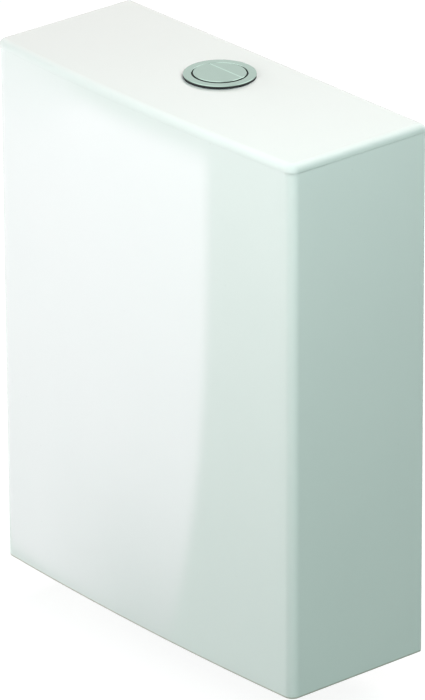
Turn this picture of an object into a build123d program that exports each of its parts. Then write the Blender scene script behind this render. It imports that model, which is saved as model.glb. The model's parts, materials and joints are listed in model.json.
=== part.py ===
from build123d import *
import os
from math import asin, cos, degrees, sin, sqrt

# A close-coupled toilet cistern: a tall glazed ceramic tank with a bowed front,
# a flat lid with a round two-part push button, a two-stage flush valve and a
# bottom-entry fill valve with a float.
# The origin is on the axis of the flush outlet, in the plane of the sole.
# X runs along the front, Y towards the wall, Z up. Sizes are in millimetres.

# Common clearances and one overrun for all cuts
cut_over = 1
body_gap = 0.3
pin_clearance = 0.05
thread_clearance = 0.1
thread_step = 0.45
thread_run_out = 0.5

# Tank
tank_width = 390
tank_depth = 155
tank_height = 484
front_bow = 5.8
tank_wall = 10
tank_floor = 12
front_edge_radius = 9
back_edge_radius = 3
rim_edge_radius = 0.4
sole_edge_radius = 1.5
cavity_corner_radius = 10
cavity_floor_radius = 6
foot_width = 12
foot_height = 8
outlet_from_back = 62
outlet_hole_clearance = 2.2
bolt_spacing = 150
inlet_hole_clearance = 0.9
inlet_from_cavity_side = 40

# Lid
lid_gap = 0.35
lid_overhang = 0.9
lid_edge = 7.85
lid_edge_radius = 6
lid_lower_edge_radius = 0.4
lid_plate = 12
lid_lip_depth = 6
lid_lip_width = 8
lid_lip_clearance = 3
lid_hole_clearance = 1
pad_length = 24
pad_width = 6
pad_thickness = 1.5
pad_from_back = 34
pad_from_front = 44

# Push button on the lid
bezel_radius = 32.6
bezel_top_radius = 31
bezel_height = 3
bezel_edge_height = 0.7
bezel_edge_slope = 0.3
bezel_hole_radius = 24
bezel_lead_in = 0.5
barrel_radius = 28
barrel_wall = 1.6
barrel_depth = 30
gasket_inset = 0.5
gasket_height = 1.2
button_clearance = 1
button_split_y = 6.3
button_split_gap = 0.7
button_thickness = 3.4
button_chamfer = 0.45
button_above_bezel = 0.8
half_button_lower = 0.4
button_travel = 8
button_skirt_wall = 1
button_skirt_depth = 9
guide_x = 12
guide_y = 12
guide_radius = 2.2
guide_wall = 1
guide_sleeve_rise = 3
guide_post_half = 2
guide_post_end_gap = 1.5
rod_taper = 0.8
housing_wall = 1.5
housing_floor = 2.5
housing_below_bezel = 25
spring_wire = 0.8
spring_turns = 4
lid_nut_width = 9
lid_nut_height = 8
lid_nut_grip_depth = 1.6
lid_nut_grip_width = 7
lid_nut_grips = 8
rod_nut_radius = 5
rod_nut_height = 4

# Flush valve body
spigot_radius = 29.8
spigot_wall = 4.8
spigot_below_sole = 34
base_gasket_thickness = 3
base_gasket_inset = 2
flange_thickness = 4
seat_height = 6
seat_width = 2
clip_width = 14
clip_thickness = 2.2
clip_lip = 2
clip_clearance = 0.2
backnut_width = 10
backnut_height = 12
backnut_ribs = 8
backnut_rib_width = 6
backnut_rib_depth = 1.5
coupling_gasket_wall = 5.5
coupling_gasket_below_nut = 18
coupling_gasket_taper = 6
cage_gap = 5
cage_wall = 2.5
cage_foot_width = 2
cage_foot_height = 3
reserve_below_cup = 60
cage_above_cup = 4
cage_window_width = 48
cage_top_band = 14
cage_spoke_width = 5
cage_spoke_height = 6
cage_hub_wall = 3
cage_rib_width = 3
cage_rib_base = 60
post_width = 16
post_thickness = 3.5
post_slot_width = 6
post_slot_height_share = 0.5
post_slots = 5
bridge_ring_height = 5
bridge_bar_width = 18
bridge_bar_height = 6
bridge_cheek_wall = 4
bridge_cheek_radius = 6

# Rocking levers between push rods and valves
levers_below_rim = 84
lever_pin_radius = 2
lever_pin_head_radius = 3.6
lever_pin_head_height = 1.6
lever_above_bar = 10
lever_width = 8
lever_hub_radius = 5
lever_root_half = 3.6
lever_arm_half = 1.8
lever_nose_radius = 3
lever_tip_arm = 20

# Moving flush valves
cup_radius = 35
cup_wall = 2
cup_floor = 4
cup_below_water = 55
cup_port_radius = 18
cup_seat_height = 4
cup_seat_width = 2
cup_seal_thickness = 3
cup_seal_width = 9
tube_radius = 12.5
tube_wall = 2
tube_below_levers = 80
tube_tail = 2
tube_seal_thickness = 3
tube_seal_overlap = 4
retainer_height = 4
retainer_inset = 2
flush_float_rise = 6
flush_float_height = 42
flush_float_radius = 25
flush_float_wall = 2
lift_bar_depth = 5
lift_bar_width = 6
lift_hook_thickness = 3
lift_hook_overlap = 2.4
lift_clip_height = 10
lift_clip_wall = 1.8
collar_height = 12
collar_wall = 3.5
collar_below_tube_top = 18

# Coupling bolts
bolt_radius = 4
bolt_below_sole = 40
bolt_head_radius = 7.5
bolt_head_height = 5.5
bolt_hole_clearance = 2
head_washer_radius = 14
head_washer_thickness = 1.5
cone_washer_radius = 13
cone_washer_thickness = 4
cone_washer_nose = 6
cone_washer_nose_taper = 0.9
lower_rubber_radius = 12
lower_rubber_thickness = 2
bolt_nut_radius = 7.5
bolt_nut_height = 5

# Fill valve
tail_radius = 10.48
tail_below_sole = 34
shank_flange_radius = 18
shank_flange_thickness = 4
shank_washer_thickness = 3
shank_nut_radius = 18
shank_nut_height = 8
inner_pipe_radius = 7
inner_pipe_wall = 1.5
filter_length = 24
filter_wall = 1.2
riser_radius = 13
riser_wall = 2
riser_above_water = 33
riser_slot_width = 5
riser_slot_height = 30
riser_slot_rise = 4
riser_slots = 4
head_radius = 17
head_height = 24
head_step = 3
diaphragm_thickness = 2
cap_height = 9
cap_skirt = 8
cap_wall = 2
pilot_radius = 1.6
pilot_bore = 0.6
arm_pivot_offset = 12
arm_link_radius = 24
arm_nose_radius = 2.2
arm_half_height = 2
arm_hub_radius = 4
arm_width = 9
arm_pin_radius = 1.5
arm_fork_gap = 5.2
arm_above_cap = 9
ear_wall = 2.5
ear_gap = 0.4
link_pin_radius = 1.5
link_slot_play = 0.4
link_half = 1.8
float_travel = 12
float_radius = 30
float_height = 52
float_wall = 2
water_below_tube = 35
float_draught = 40
float_clearance = 0.5
lug_width = 9
lug_height = 8
link_below_lug = 12
clip_half = 3.8
clip_height = 5

# Levels worked out from the sizes above
floor_top = foot_height + tank_floor
floor_under = foot_height
lid_low = tank_height + lid_gap
lid_top = lid_low + lid_edge
plate_low = lid_top - lid_plate
lip_low = plate_low - lid_lip_depth
cavity_half_width = tank_width / 2 - tank_wall
fill_x = -(cavity_half_width - inlet_from_cavity_side)

# Water levels, from the rim down
lever_height = tank_height - levers_below_rim
tube_top_level = lever_height - tube_below_levers
water_level = tube_top_level - water_below_tube
cup_rim_level = water_level - cup_below_water
reserve_level = cup_rim_level - reserve_below_cup
riser_top_level = water_level + riser_above_water

# Button unit, from the lid's top down
bezel_top = lid_top + bezel_height
button_top = bezel_top + button_above_bezel
button_radius = bezel_hole_radius - button_clearance
barrel_inner = barrel_radius - barrel_wall
housing_radius = barrel_inner - thread_clearance
housing_low = lid_top - housing_below_bezel
housing_floor_top = housing_low + housing_floor
sleeve_bore = guide_radius + body_gap
sleeve_radius = sleeve_bore + guide_wall
spring_seat = housing_floor_top
spring_radius = sleeve_radius + body_gap + spring_wire / 2
rod_stop_low = housing_low - body_gap

# Lever angles and lifts: both noses stay level at mid travel
rod_arm = guide_x
lever_swing = 2 * asin(button_travel / 2 / rod_arm)
valve_lift = button_travel * lever_tip_arm / rod_arm
rod_nose_top = lever_height + button_travel / 2 + lever_nose_radius
tip_nose_top = lever_height - valve_lift / 2 + lever_nose_radius
rod_end = rod_nose_top + body_gap
hook_low = tip_nose_top + body_gap

# Flush valve, from the floor up
spigot_bore = spigot_radius - spigot_wall
outlet_hole_radius = spigot_radius + outlet_hole_clearance
backnut_low = floor_under - backnut_height
backnut_bore = spigot_radius - thread_step + thread_clearance
coupling_gasket_low = backnut_low - coupling_gasket_below_nut
flange_low = floor_top + base_gasket_thickness
flange_top = flange_low + flange_thickness
seat_top = flange_top + seat_height
seat_outer = spigot_bore + seat_width
cage_inner = cup_radius + cage_gap
cage_outer = cage_inner + cage_wall
cage_foot_radius = cage_outer + cage_foot_width
flange_radius = cage_foot_radius + clip_clearance + clip_thickness
cage_window_low = reserve_level
cage_window_high = cup_rim_level + valve_lift + cage_above_cup
cage_top = cage_window_high + cage_top_band
bar_top = lever_height - lever_above_bar
bar_low = bar_top - bridge_bar_height
post_slot_pitch = (bar_low - cage_top - bridge_ring_height) / post_slots
post_slot_height = post_slot_height_share * post_slot_pitch

# Cup and tube
cup_seal_low = seat_top + body_gap
cup_low = cup_seal_low + cup_seal_thickness
cup_floor_top = cup_low + cup_floor
cup_seat_top = cup_floor_top + cup_seat_height
cup_inner = cup_radius - cup_wall
tube_seal_low = cup_seat_top + body_gap
tube_seal_radius = cup_port_radius + cup_seat_width + tube_seal_overlap
retainer_low = tube_seal_low + tube_seal_thickness
flush_float_low = retainer_low + retainer_height + flush_float_rise
collar_top = tube_top_level - collar_below_tube_top
collar_low = collar_top - collar_height
lift_half_width = lift_bar_width / 2
lift_bar_outer = sqrt((cup_inner - body_gap) ** 2 - (guide_y + lift_half_width) ** 2)
lift_bar_inner = lift_bar_outer - lift_bar_depth

# Fill valve, from the floor up
inlet_hole_radius = tail_radius + inlet_hole_clearance
shank_flange_low = floor_top + shank_washer_thickness
shank_nut_low = floor_under - shank_nut_height
tail_free_end = shank_nut_low - thread_run_out
shank_nut_bore = tail_radius - thread_step + thread_clearance
riser_low = shank_flange_low + shank_flange_thickness
riser_inner = riser_radius - riser_wall
pipe_bore = inner_pipe_radius - inner_pipe_wall
head_top = riser_top_level + head_height
cap_low = head_top + diaphragm_thickness
cap_top = cap_low + cap_height
arm_height = cap_top + arm_above_cap
arm_swing = 2 * asin(float_travel / 2 / arm_link_radius)
link_x = arm_pivot_offset + arm_link_radius
link_pin_height = arm_height - float_travel / 2
pilot_reach = arm_pivot_offset
pilot_top = arm_height - pilot_reach * sin(arm_swing / 2) - arm_nose_radius - body_gap
ear_inner = arm_width / 2 + ear_gap
ear_outer = ear_inner + ear_wall
float_low = water_level - float_draught - float_travel
float_top = float_low + float_height
lug_top = float_top
lug_low = lug_top - lug_height


def disc(radius, low, high, x=0, y=0):
    """Upright cylinder between two levels."""
    align = (Align.CENTER, Align.CENTER, Align.MIN)
    return Pos(x, y, low) * Cylinder(radius, high - low, align=align)


def ring(outer, inner, low, high, x=0, y=0):
    """Upright cylinder with a bore through it."""
    bore = disc(inner, low - cut_over, high + cut_over, x, y)
    return disc(outer, low, high, x, y) - bore


def block(x_low, x_high, y_low, y_high, z_low, z_high):
    """Box given by its two corners."""
    size = (x_high - x_low, y_high - y_low, z_high - z_low)
    return Pos(x_low, y_low, z_low) * Box(*size, align=(Align.MIN, Align.MIN, Align.MIN))


def turned(*outline):
    """Solid of revolution about Z, from points given as radius and level."""
    return revolve(Plane.XZ * Polygon(*outline, align=None), Axis.Z)


def side_plate(outline, width, y=0):
    """Flat plate from an outline of length and level, centred on y."""
    return Pos(0, y, 0) * extrude(Plane.XZ * outline, width / 2, both=True)


def cross_pin(radius, y_low, y_high, x, z):
    """Cylinder that lies along Y."""
    turn = Pos(x, y_low, z) * Rot(-90, 0, 0)
    align = (Align.CENTER, Align.CENTER, Align.MIN)
    return turn * Cylinder(radius, y_high - y_low, align=align)


def hexagon(radius, bore, low, high, x=0, y=0):
    """Hexagonal nut, radius given over its corners."""
    body = Pos(x, y, low) * extrude(RegularPolygon(radius, 6), high - low)
    return body - disc(bore, low - cut_over, high + cut_over, x, y)


def plan(inset, front_radius, back_radius):
    """Outline of the tank seen from above, drawn in by an inset, or out all round but at the wall."""
    half = tank_width / 2 - inset
    back = outlet_from_back - max(inset, 0)
    apex = outlet_from_back - tank_depth + inset
    corner = apex + front_bow
    sides = Polyline((-half, corner), (-half, back), (half, back), (half, corner))
    front = ThreePointArc((half, corner), (0, apex), (-half, corner))
    face = make_face(sides.edges() + front.edges())
    face = fillet(face.vertices().sort_by(Axis.Y)[:2], front_radius)
    return fillet(face.vertices().sort_by(Axis.Y)[-2:], back_radius)


def bolt_places():
    """Axes of the two coupling bolts, seen from above."""
    return [(side * bolt_spacing / 2, 0) for side in (-1, 1)]


def tank():
    shell = extrude(plan(0, front_edge_radius, back_edge_radius), tank_height)
    rim = shell.faces().sort_by(Axis.Z)[-1]
    shell = fillet(rim.edges(), rim_edge_radius)
    shell = fillet(shell.faces().sort_by(Axis.Z)[0].edges(), sole_edge_radius)
    inner = plan(tank_wall, cavity_corner_radius, cavity_corner_radius)
    cavity = Pos(0, 0, floor_top) * extrude(inner, tank_height - floor_top + cut_over)
    bottom = cavity.faces().sort_by(Axis.Z)[0]
    cavity = fillet(bottom.edges(), cavity_floor_radius)
    foot = plan(foot_width, cavity_corner_radius, cavity_corner_radius)
    recess = Pos(0, 0, -cut_over) * extrude(foot, foot_height + cut_over)
    body = shell - cavity - recess
    body -= disc(outlet_hole_radius, 0, floor_top + cut_over)
    body -= disc(inlet_hole_radius, 0, floor_top + cut_over, fill_x)
    for x, y in bolt_places():
        body -= disc(bolt_radius + bolt_hole_clearance, 0, floor_top + cut_over, x, y)
    return body


def lid():
    outline = plan(-lid_overhang, front_edge_radius, back_edge_radius)
    top = Pos(0, 0, lid_low) * extrude(outline, lid_edge)
    top = fillet(top.faces().sort_by(Axis.Z)[-1].edges(), lid_edge_radius)
    top = fillet(top.faces().sort_by(Axis.Z)[0].edges(), lid_lower_edge_radius)
    lip_inset = tank_wall + lid_lip_clearance
    lip = plan(lip_inset, cavity_corner_radius, cavity_corner_radius)
    plug = Pos(0, 0, lip_low) * extrude(lip, lid_low - lip_low + lid_edge / 2)
    inner = plan(lip_inset + lid_lip_width, cavity_corner_radius, cavity_corner_radius)
    hollow = Pos(0, 0, lip_low - cut_over) * extrude(inner, plate_low - lip_low + cut_over)
    hole = disc(barrel_radius + lid_hole_clearance, lip_low, lid_top + cut_over)
    return top + plug - hollow - hole - lid_pads()


def lid_pads():
    """Rubber pads let into the lid's edge, which keep it off the rim."""
    low = tank_height + body_gap
    mid_x = tank_width / 2 - tank_wall / 2
    back_y = outlet_from_back - pad_from_back
    front_y = outlet_from_back - tank_depth + pad_from_front
    pads = Part()
    for side in (-1, 1):
        for y in (front_y, back_y):
            x = side * mid_x
            x_low, x_high = x - pad_width / 2, x + pad_width / 2
            y_low, y_high = y - pad_length / 2, y + pad_length / 2
            pads += block(x_low, x_high, y_low, y_high, low, low + pad_thickness)
    return pads


def button_bezel():
    """Chrome ring on the lid, with the threaded barrel that goes through it."""
    ring_low = lid_top + gasket_height
    shoulder = bezel_radius - bezel_edge_slope
    outline = [
        (barrel_radius, ring_low),
        (bezel_radius, ring_low),
        (shoulder, ring_low + bezel_edge_height),
        (bezel_top_radius, bezel_top - bezel_lead_in / 2),
        (bezel_top_radius - bezel_lead_in, bezel_top),
        (bezel_hole_radius + bezel_lead_in, bezel_top),
        (bezel_hole_radius, bezel_top - bezel_lead_in),
        (bezel_hole_radius, lid_top),
        (barrel_inner, lid_top - barrel_wall),
        (barrel_inner, lid_top - barrel_depth),
        (barrel_radius, lid_top - barrel_depth),
    ]
    return turned(*outline)


def bezel_gasket():
    """Black rubber ring that shows as a dark line between the chrome and the lid."""
    outer = bezel_radius - gasket_inset
    return ring(outer, barrel_radius + thread_clearance, lid_top, lid_top + gasket_height)


def guide_post(half, low, high, y):
    """Square post that keeps a button from tilting, on the side away from its rod."""
    return block(guide_x - half, guide_x + half, y - half, y + half, low, high)


def button_housing():
    """Cup inside the barrel that guides both buttons and seats their springs."""
    top = lid_top - barrel_wall - body_gap
    body = ring(housing_radius, housing_radius - housing_wall, housing_low, top)
    body += disc(housing_radius, housing_low, housing_floor_top)
    for y in (-guide_y, guide_y):
        body += disc(sleeve_radius, housing_low, housing_floor_top + guide_sleeve_rise, -guide_x, y)
        body -= disc(sleeve_bore, housing_low - cut_over, bezel_top, -guide_x, y)
        body -= guide_post(guide_post_half + body_gap, housing_low - cut_over, bezel_top, y)
    return body


def lid_nut():
    """Ring nut that draws the button unit down on the lid."""
    outer = barrel_radius + lid_nut_width
    low = plate_low - lid_nut_height
    nut = ring(outer, barrel_radius + thread_clearance, low, plate_low)
    reach = outer - lid_nut_grip_depth
    half = lid_nut_grip_width / 2
    grip = block(reach, outer + cut_over, -half, half, low - cut_over, plate_low + cut_over)
    for turn in range(lid_nut_grips):
        nut -= Rot(0, 0, turn * 360 / lid_nut_grips) * grip
    return nut


def button_segment(radius, low, high, front):
    """Part of a disc in front of, or behind, the line that divides the buttons."""
    edge = button_split_y + (-1 if front else 1) * button_split_gap / 2
    side = block(-radius, radius, edge - 2 * radius, edge, low, high)
    if not front:
        side = block(-radius, radius, edge, edge + 2 * radius, low, high)
    return disc(radius, low, high) & side


def button(top, front):
    """Half of the push button: a chrome plate with a skirt and one guide post."""
    low = top - button_thickness
    plate = button_segment(button_radius, low, top, front)
    plate = chamfer(plate.faces().sort_by(Axis.Z)[-1].edges(), button_chamfer)
    skirt_low = top - button_skirt_depth
    skirt = button_segment(button_radius, skirt_low, low, front)
    skirt -= disc(button_radius - button_skirt_wall, skirt_low - cut_over, low)
    y = -guide_y if front else guide_y
    post = guide_post(guide_post_half, housing_low - guide_post_end_gap, low, y)
    socket = ring(guide_radius + guide_wall, guide_radius, skirt_low, low, -guide_x, y)
    inside = disc(button_radius, skirt_low, top)
    return plate + skirt + post + (socket & inside)


def full_button():
    return button(button_top, True)


def half_button():
    return button(button_top - half_button_lower, False)


def push_rod(top, y):
    """Rod that screws into the button and ends in a blunt point over its lever."""
    outline = [
        (0, rod_end),
        (guide_radius - rod_taper, rod_end),
        (guide_radius, rod_end + 2 * rod_taper),
        (guide_radius, top - button_thickness),
        (0, top - button_thickness),
    ]
    return Pos(-guide_x, y, 0) * turned(*outline)


def rod_nut(y):
    """Nut on the push rod that stops the button at the top of its travel."""
    low = rod_stop_low - rod_nut_height
    return hexagon(rod_nut_radius, guide_radius, low, rod_stop_low, -guide_x, y)


def button_spring(top, y):
    """Return spring round the guide sleeve, between the housing and the button."""
    low = spring_seat + spring_wire / 2
    height = top - button_thickness - spring_wire / 2 - low
    path = Helix(pitch=height / spring_turns, height=height, radius=spring_radius)
    start = Plane(origin=path @ 0, z_dir=path % 0)
    wire = sweep(start * Rectangle(spring_wire, spring_wire), path=path, is_frenet=True)
    return Pos(-guide_x, y, low) * wire


def flush_valve_base():
    """Flange with the valve seat on top, the threaded spigot below and four clips."""
    outline = [
        (spigot_bore, -spigot_below_sole),
        (spigot_radius, -spigot_below_sole),
        (spigot_radius, coupling_gasket_low - thread_run_out),
        (spigot_radius - thread_step, coupling_gasket_low - thread_run_out),
        (spigot_radius - thread_step, flange_low),
        (flange_radius, flange_low),
        (flange_radius, flange_top),
        (seat_outer + seat_width, flange_top),
        (seat_outer, seat_top),
        (spigot_bore, seat_top),
    ]
    body = turned(*outline)
    hook_low = flange_top + cage_foot_height + clip_clearance
    hook_high = hook_low + clip_thickness
    clip_inner = flange_radius - clip_thickness
    tower = ring(flange_radius, clip_inner, flange_low, hook_high)
    hook = ring(flange_radius, clip_inner - clip_lip, hook_low, hook_high)
    half = clip_width / 2
    for turn in range(4):
        sector = block(0, flange_radius, -half, half, flange_low, hook_high)
        body += (tower + hook) & (Rot(0, 0, 45 + turn * 90) * sector)
    return body


def base_gasket():
    outer = flange_radius - base_gasket_inset
    return ring(outer, spigot_radius + thread_clearance, floor_top, flange_low)


def flush_backnut():
    """Ribbed nut under the tank's floor that clamps the flush valve."""
    outer = spigot_radius + backnut_width
    nut = ring(outer - backnut_rib_depth, backnut_bore, backnut_low, floor_under)
    half = backnut_rib_width / 2
    inner = outer - 2 * backnut_rib_depth
    rib = block(inner, outer, -half, half, backnut_low, floor_under)
    for turn in range(backnut_ribs):
        nut += Rot(0, 0, turn * 360 / backnut_ribs) * rib
    return nut


def coupling_gasket():
    """Soft ring that fits over the backnut and seals on the pan."""
    nut_outer = spigot_radius + backnut_width + body_gap
    outer = nut_outer + coupling_gasket_wall
    outline = [
        (nut_outer, floor_under),
        (outer, floor_under),
        (outer, backnut_low),
        (outer - coupling_gasket_taper, coupling_gasket_low),
        (spigot_radius + body_gap, coupling_gasket_low),
        (spigot_radius + body_gap, backnut_low),
        (nut_outer, backnut_low),
    ]
    return turned(*outline)


def valve_cage():
    """Open tower round the moving valves, solid up to the reserve level."""
    outline = [
        (cage_inner, flange_top),
        (cage_foot_radius, flange_top),
        (cage_foot_radius, flange_top + cage_foot_height),
        (cage_outer, flange_top + cage_foot_height),
        (cage_outer, cage_top),
        (cage_inner, cage_top),
    ]
    body = turned(*outline)
    half = cage_window_width / 2
    reach = cage_outer + cut_over
    body -= block(-reach, reach, -half, half, cage_window_low, cage_window_high)
    body -= block(-half, half, -reach, reach, cage_window_low, cage_window_high)
    spoke_high = cage_window_high + cage_spoke_height
    hub_bore = tube_radius + body_gap
    hub_radius = hub_bore + cage_hub_wall
    spoke_half = cage_spoke_width / 2
    rib_half = cage_rib_width / 2
    in_wall = cage_inner + cage_wall / 2
    in_hub = hub_radius - cage_hub_wall / 2
    rib_inner = cup_radius + body_gap
    spoke = block(in_hub, in_wall, -spoke_half, spoke_half, cage_window_high, spoke_high)
    rib = block(rib_inner, in_wall, -rib_half, rib_half, cage_rib_base, cage_window_high)
    body += ring(hub_radius, hub_bore, cage_window_high, spoke_high)
    for turn in range(4):
        body += Rot(0, 0, turn * 90) * spoke
        body += Rot(0, 0, 45 + turn * 90) * rib
    return body


def lever_bridge():
    """Frame on top of the cage that carries the levers over the tube."""
    body = ring(cage_outer, cage_inner, cage_top, cage_top + bridge_ring_height)
    post_half = post_width / 2
    post_inner = cage_outer - post_thickness
    slot_half = post_slot_width / 2
    for side in (0, 180):
        post = block(-post_half, post_half, post_inner, cage_outer, cage_top, bar_top)
        for step in range(post_slots):
            low = bar_low - (step + 1) * post_slot_pitch + post_slot_height / 2
            post -= block(-slot_half, slot_half, 0, cage_outer + cut_over, low, low + post_slot_height)
        body += Rot(0, 0, side) * post
    bar_half = bridge_bar_width / 2
    body += block(-bar_half, bar_half, -cage_outer, cage_outer, bar_low, bar_top)
    cheek = Circle(bridge_cheek_radius) + Pos(0, -lever_above_bar / 2) * Rectangle(
        2 * bridge_cheek_radius, lever_above_bar)
    cheek = Pos(0, lever_height) * cheek
    for y in cheek_places():
        body += side_plate(cheek, bridge_cheek_wall, y)
    reach = max(cheek_places()) + bridge_cheek_wall
    return body - cross_pin(lever_pin_radius + pin_clearance, -reach, reach, 0, lever_height)


def cheek_places():
    """Middle of each cheek along the lever pin: outside both levers and between them."""
    outer = guide_y + lever_width / 2 + body_gap + bridge_cheek_wall / 2
    return (-outer, 0, outer)


def lever_pin():
    reach = max(cheek_places()) + bridge_cheek_wall / 2
    pin = cross_pin(lever_pin_radius, -reach, reach + lever_pin_head_height, 0, lever_height)
    low = -reach - lever_pin_head_height
    return pin + cross_pin(lever_pin_head_radius, low, -reach, 0, lever_height)


def lever(y):
    """Rocker that a push rod presses on the left and that lifts a hook on the right."""
    near, far = lever_root_half, lever_arm_half
    arm = Polygon((-rod_arm, -far), (-rod_arm, far), (0, near), (0, -near), align=None)
    arm += Polygon((lever_tip_arm, -far), (lever_tip_arm, far), (0, near), (0, -near), align=None)
    arm += Pos(-rod_arm, 0) * Circle(lever_nose_radius)
    arm += Pos(lever_tip_arm, 0) * Circle(lever_nose_radius)
    arm += Circle(lever_hub_radius)
    arm -= Circle(lever_pin_radius + pin_clearance)
    body = side_plate(arm, lever_width)
    return Pos(0, y, lever_height) * Rot(0, degrees(lever_swing / 2), 0) * body


def full_lever():
    return lever(-guide_y)


def half_lever():
    return lever(guide_y)


def flush_cup():
    """Tall open cup whose floor holds the large seal and the port of the tube."""
    outline = [
        (cup_port_radius, cup_low),
        (cup_radius, cup_low),
        (cup_radius, cup_rim_level),
        (cup_inner, cup_rim_level),
        (cup_inner, cup_floor_top),
        (cup_port_radius + cup_seat_width, cup_floor_top),
        (cup_port_radius + cup_seat_width / 2, cup_seat_top),
        (cup_port_radius, cup_seat_top),
    ]
    return turned(*outline)


def cup_seal():
    inner = seat_outer - cup_seal_width / 2
    return ring(inner + cup_seal_width, inner, cup_seal_low, cup_low)


def lift_bar(low, y):
    """Upright bar with a hook on top that reaches over a lever's nose."""
    y_low, y_high = y - lift_half_width, y + lift_half_width
    high = hook_low + lift_hook_thickness
    bar = block(lift_bar_inner, lift_bar_outer, y_low, y_high, low, high)
    hook_x = lever_tip_arm - lift_hook_overlap
    return bar + block(hook_x, lift_bar_inner, y_low, y_high, hook_low, high)


def cup_lift_rod():
    """Bar that hangs on the cup's rim and is lifted by the full-flush lever."""
    y_low, y_high = -guide_y - lift_half_width, -guide_y + lift_half_width
    low = cup_rim_level - lift_clip_height
    saddle_outer = cup_radius + lift_clip_wall
    high = cup_rim_level + lift_clip_wall
    saddle = ring(saddle_outer, cup_inner - lift_bar_depth, low, high)
    saddle -= ring(cup_radius, cup_inner, low - cut_over, cup_rim_level)
    saddle &= block(0, saddle_outer, y_low, y_high, low, high)
    return lift_bar(low, -guide_y) + saddle


def overflow_tube():
    """Open pipe that lets water out above the waterline and carries the small seal."""
    low = tube_seal_low - tube_tail
    bore = tube_radius - tube_wall
    tube = ring(tube_radius, bore, low, tube_top_level)
    return tube + ring(tube_radius + tube_tail, bore, low, tube_seal_low)


def tube_seal():
    return ring(tube_seal_radius, tube_radius + thread_clearance, tube_seal_low, retainer_low)


def seal_retainer():
    outer = tube_seal_radius - retainer_inset
    return ring(outer, tube_radius + thread_clearance, retainer_low, retainer_low + retainer_height)


def flush_float():
    """Upturned float on the tube that holds the valve open while water runs."""
    high = flush_float_low + flush_float_height
    inner = tube_radius + thread_clearance
    core = inner + flush_float_wall
    outline = [
        (inner, flush_float_low),
        (core, flush_float_low),
        (core, high - flush_float_wall),
        (flush_float_radius - flush_float_wall, high - flush_float_wall),
        (flush_float_radius - flush_float_wall, flush_float_low),
        (flush_float_radius, flush_float_low),
        (flush_float_radius, high),
        (inner, high),
    ]
    return turned(*outline)


def tube_lift_rod():
    """Collar on the tube with the bar that the half-flush lever lifts."""
    outer = tube_radius + collar_wall
    arm_low = guide_y - lift_half_width
    arm_high = guide_y + lift_half_width
    body = disc(outer, collar_low, collar_top)
    body += block(0, lift_bar_inner + lift_bar_depth / 2, arm_low, arm_high, collar_low, collar_top)
    body -= disc(tube_radius + thread_clearance, collar_low - cut_over, collar_top + cut_over)
    return body + lift_bar(collar_low, guide_y)


def at_bolts(make):
    """The same piece on both coupling bolts."""
    group = Part()
    for x, y in bolt_places():
        group += make(x, y)
    return group


cone_top = floor_top + cone_washer_thickness
head_low = cone_top + head_washer_thickness
lower_rubber_low = floor_under - lower_rubber_thickness
nut_washer_low = lower_rubber_low - head_washer_thickness
bolt_nut_low = nut_washer_low - bolt_nut_height
bolt_nut_bore = bolt_radius - thread_step + thread_clearance


def coupling_bolt(x, y):
    head = Pos(x, y, head_low) * extrude(RegularPolygon(bolt_head_radius, 6), bolt_head_height)
    free_end = bolt_nut_low - thread_run_out
    thread = disc(bolt_radius, -bolt_below_sole, free_end, x, y)
    return head + thread + disc(bolt_radius - thread_step, free_end, head_low, x, y)


def cone_washer(x, y):
    """Rubber washer whose nose goes into the tank's bolt hole."""
    bore = bolt_radius + thread_clearance
    nose = bolt_radius + bolt_hole_clearance - thread_clearance
    outline = [
        (bore, floor_top - cone_washer_nose),
        (nose - cone_washer_nose_taper, floor_top - cone_washer_nose),
        (nose, floor_top),
        (cone_washer_radius, floor_top),
        (cone_washer_radius, cone_top),
        (bore, cone_top),
    ]
    return Pos(x, y, 0) * turned(*outline)


def head_washer(x, y):
    return ring(head_washer_radius, bolt_radius + thread_clearance, cone_top, head_low, x, y)


def lower_rubber(x, y):
    bore = bolt_radius + thread_clearance
    return ring(lower_rubber_radius, bore, lower_rubber_low, floor_under, x, y)


def nut_washer(x, y):
    bore = bolt_radius + thread_clearance
    return ring(lower_rubber_radius, bore, nut_washer_low, lower_rubber_low, x, y)


def bolt_nut(x, y):
    return hexagon(bolt_nut_radius, bolt_nut_bore, bolt_nut_low, nut_washer_low, x, y)


def fill_valve_shank():
    """Threaded tail through the tank's floor, with its flange and the inner pipe."""
    outline = [
        (pipe_bore, -tail_below_sole),
        (tail_radius, -tail_below_sole),
        (tail_radius, tail_free_end),
        (tail_radius - thread_step, tail_free_end),
        (tail_radius - thread_step, shank_flange_low),
        (shank_flange_radius, shank_flange_low),
        (shank_flange_radius, riser_low),
        (inner_pipe_radius, riser_low),
        (inner_pipe_radius, riser_top_level),
        (pipe_bore, riser_top_level),
    ]
    return Pos(fill_x, 0, 0) * turned(*outline)


def inlet_filter():
    """Strainer thimble in the tail's mouth."""
    outer = pipe_bore - thread_clearance
    low = -tail_below_sole
    high = low + filter_length
    thimble = disc(outer, low, high, fill_x)
    return thimble - disc(outer - filter_wall, low - cut_over, high - filter_wall, fill_x)


def shank_washer():
    bore = tail_radius + thread_clearance
    return ring(shank_flange_radius, bore, floor_top, shank_flange_low, fill_x)


def shank_backnut():
    return hexagon(shank_nut_radius, shank_nut_bore, shank_nut_low, floor_under, fill_x)


def fill_riser():
    """Outer pipe: water falls between it and the inner pipe and leaves by the slots."""
    pipe = ring(riser_radius, riser_inner, riser_low, riser_top_level)
    half = riser_slot_width / 2
    slot_low = riser_low + riser_slot_rise
    reach = riser_radius + cut_over
    slot = block(0, reach, -half, half, slot_low, slot_low + riser_slot_height)
    for turn in range(riser_slots):
        pipe -= Rot(0, 0, turn * 360 / riser_slots) * slot
    return Pos(fill_x, 0, 0) * pipe


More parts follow.
